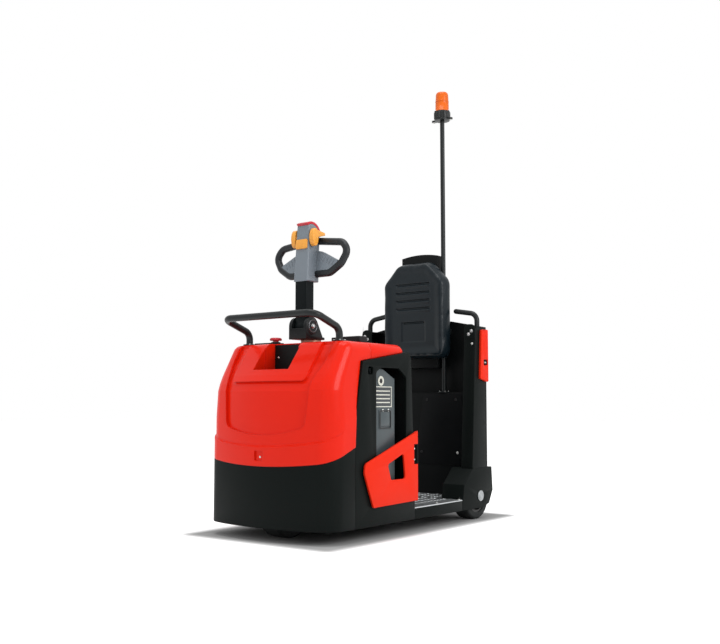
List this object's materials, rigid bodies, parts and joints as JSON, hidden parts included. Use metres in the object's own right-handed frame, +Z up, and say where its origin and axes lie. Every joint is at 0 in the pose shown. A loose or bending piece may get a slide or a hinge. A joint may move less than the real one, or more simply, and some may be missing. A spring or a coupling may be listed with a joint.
{
  "type": "electric stand-on baggage tow tractor",
  "caption": "Compact stand-on electric tow tractor with tiller steering, rear backrest, beacon mast and multi-level tow coupling.",
  "frame": {"origin": "on the floor under the middle of the overall box", "axes": "-Y is the front, +X is the vehicle's left side, +Z is up"},
  "size_m": [0.628, 1.21, 1.876],
  "materials": {
    "hood_red": "gloss moulded cover",
    "cover_red": "satin cover",
    "frame_black": "black powder coat",
    "trim_black": "black moulded plastic",
    "battery_grey": "grey paint",
    "tread_aluminium": "chequered",
    "bright_steel": "machined",
    "cast_grey": "painted casting",
    "head_grey": "moulded grip housing",
    "control_orange": "moulded control",
    "stop_red": "moulded button",
    "beacon_orange": "translucent lens",
    "tyre_black": "solid rubber",
    "cushion_black": "skinned foam"
  },
  "bodies": {
    "chassis": {"front_skirt": "frame_black", "side_frames": "frame_black", "drive_mount": "frame_black", "floor_frame": "frame_black", "front_hood": "hood_red", "dash_cover": "hood_red", "hood_tray": "trim_black", "tread_plate": "tread_aluminium", "console_back": "frame_black", "battery_case": "battery_grey", "battery_sockets": "bright_steel", "gate_hinges": "frame_black", "wheel_housings": "frame_black", "rear_axles": "bright_steel", "axle_caps": "bright_steel", "rear_columns": "frame_black", "rear_wall": "frame_black", "rear_cabinet": "frame_black", "service_cover": "trim_black", "side_covers": "cover_red", "side_latches": "bright_steel", "backrest_carrier": "frame_black", "backrest_cushion": "cushion_black", "grab_handles": "frame_black", "mast": "frame_black", "beacon_plate": "trim_black", "beacon_base": "trim_black", "beacon_dome": "beacon_orange", "guard_bar": "trim_black", "stop_button_base": "trim_black", "stop_button": "stop_red", "dash_display": "trim_black", "tow_coupling": "cast_grey", "tiller_mount": "frame_black"},
    "tiller_base": {"tiller_hub": "cast_grey"},
    "tiller": {"tiller_column": "trim_black", "tiller_head": "head_grey", "tiller_loop": "trim_black", "tiller_throttles": "control_orange", "tiller_belly_button": "stop_red", "tiller_horn": "control_orange"},
    "drive_unit": {"drive_gearbox": "cast_grey", "drive_motor": "cast_grey"},
    "drive_wheel": {"drive_tyre": "tyre_black", "drive_hub": "cast_grey"},
    "rear_wheel_left": {"rear_tyre_left": "tyre_black", "rear_rim_left": "cast_grey"},
    "rear_wheel_right": {"rear_tyre_right": "tyre_black", "rear_rim_right": "cast_grey"},
    "gate_left": {"gate_left": "cover_red"},
    "gate_right": {"gate_right": "cover_red"}
  },
  "joints": [
    {"name": "steering", "type": "hinge", "parent": "chassis", "child": "tiller_base", "pos_m": [0, -0.32, 0.7], "axis": [0, 0, 1], "range_deg": [-90, 90]},
    {"name": "tiller_tilt", "type": "hinge", "parent": "tiller_base", "child": "tiller", "pos_m": [0, -0.363, 0.773], "axis": [-1, 0, 0], "range_deg": [0, 60], "stiffness_Nm_per_rad": 12, "springref_deg": -34.38},
    {"name": "drive_steer", "type": "hinge", "parent": "chassis", "child": "drive_unit", "pos_m": [0, -0.46, 0.28], "axis": [0, 0, 1], "range_deg": [-90, 90]},
    {"name": "drive_wheel_spin", "type": "hinge", "parent": "drive_unit", "child": "drive_wheel", "pos_m": [0, -0.46, 0.115], "axis": [1, 0, 0], "continuous": true},
    {"name": "rear_wheel_left_spin", "type": "hinge", "parent": "chassis", "child": "rear_wheel_left", "pos_m": [0.249, 0.432, 0.097], "axis": [1, 0, 0], "continuous": true},
    {"name": "rear_wheel_right_spin", "type": "hinge", "parent": "chassis", "child": "rear_wheel_right", "pos_m": [-0.249, 0.432, 0.097], "axis": [1, 0, 0], "continuous": true},
    {"name": "gate_left_swing", "type": "hinge", "parent": "chassis", "child": "gate_left", "pos_m": [0.309, -0.06, 0.2925], "axis": [0, 0, 1], "range_deg": [0, 100]},
    {"name": "gate_right_swing", "type": "hinge", "parent": "chassis", "child": "gate_right", "pos_m": [-0.309, -0.06, 0.2925], "axis": [0, 0, -1], "range_deg": [0, 100]}
  ],
  "couplings": [
    {"joint": "drive_steer", "follows": "steering", "ratio": 1}
  ]
}
